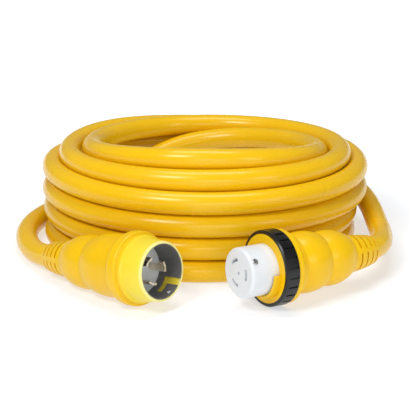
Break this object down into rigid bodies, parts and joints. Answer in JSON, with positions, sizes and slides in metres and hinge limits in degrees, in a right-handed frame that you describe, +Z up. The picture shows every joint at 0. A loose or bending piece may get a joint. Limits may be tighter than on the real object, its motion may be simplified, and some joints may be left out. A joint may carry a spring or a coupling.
{
  "type": "shore power cord",
  "caption": "Coiled heavy shore power cord with a twist-lock plug in a weather skirt and a locking connector with a free-turning ring.",
  "frame": {"origin": "middle of the floor under the plug and the connector, which lie in front of the coil", "axes": "+Z up, +X from the plug towards the connector, both ends point towards -Y and the coil lies on the +Y side"},
  "size_m": [0.4558, 0.4962, 0.1437],
  "materials": {
    "cord_jacket": "satin",
    "moulded_boot": "satin",
    "weather_skirt": "satin",
    "ring_black": "satin",
    "barrel_white": "gloss",
    "shell_grey": "satin",
    "face_grey": "matte",
    "terminal_block": "matte",
    "seal_rubber": "matte",
    "brass": "satin",
    "screw_steel": "satin",
    "clamp_plastic": "matte",
    "wire_red": "satin",
    "wire_black": "satin",
    "wire_white": "satin",
    "wire_green": "satin"
  },
  "bodies": {
    "cord_set": {"connector_assembly_screws": "screw_steel", "connector_barrel": "barrel_white", "connector_boot": "moulded_boot", "connector_clamp_lower": "clamp_plastic", "connector_clamp_screws": "screw_steel", "connector_clamp_upper": "clamp_plastic", "connector_collar": "weather_skirt", "connector_contact_neutral": "brass", "connector_contact_x": "brass", "connector_contact_y": "brass", "connector_ground_contact": "brass", "connector_lock_stud": "screw_steel", "connector_seal": "seal_rubber", "connector_tail": "cord_jacket", "connector_terminal_block": "terminal_block", "connector_terminal_screws": "screw_steel", "connector_wire_black": "wire_black", "connector_wire_green": "wire_green", "connector_wire_red": "wire_red", "connector_wire_white": "wire_white", "cord_coil": "cord_jacket", "plug_assembly_screws": "screw_steel", "plug_blade_neutral": "brass", "plug_blade_x": "brass", "plug_blade_y": "brass", "plug_boot": "moulded_boot", "plug_clamp_lower": "clamp_plastic", "plug_clamp_screws": "screw_steel", "plug_clamp_upper": "clamp_plastic", "plug_face": "face_grey", "plug_gasket": "seal_rubber", "plug_ground_strap": "brass", "plug_shell": "shell_grey", "plug_skirt": "weather_skirt", "plug_tail": "cord_jacket", "plug_terminal_block": "terminal_block", "plug_terminal_screws": "screw_steel", "plug_wire_black": "wire_black", "plug_wire_green": "wire_green", "plug_wire_red": "wire_red", "plug_wire_white": "wire_white"},
    "ring": {"locking_ring": "ring_black"}
  },
  "joints": [
    {"name": "locking_ring_spin", "type": "hinge", "parent": "cord_set", "child": "ring", "pos_m": [0.06458, -0.02959, 0.04104], "axis": [-0.8391, -0.5428, 0.0349], "continuous": true}
  ]
}
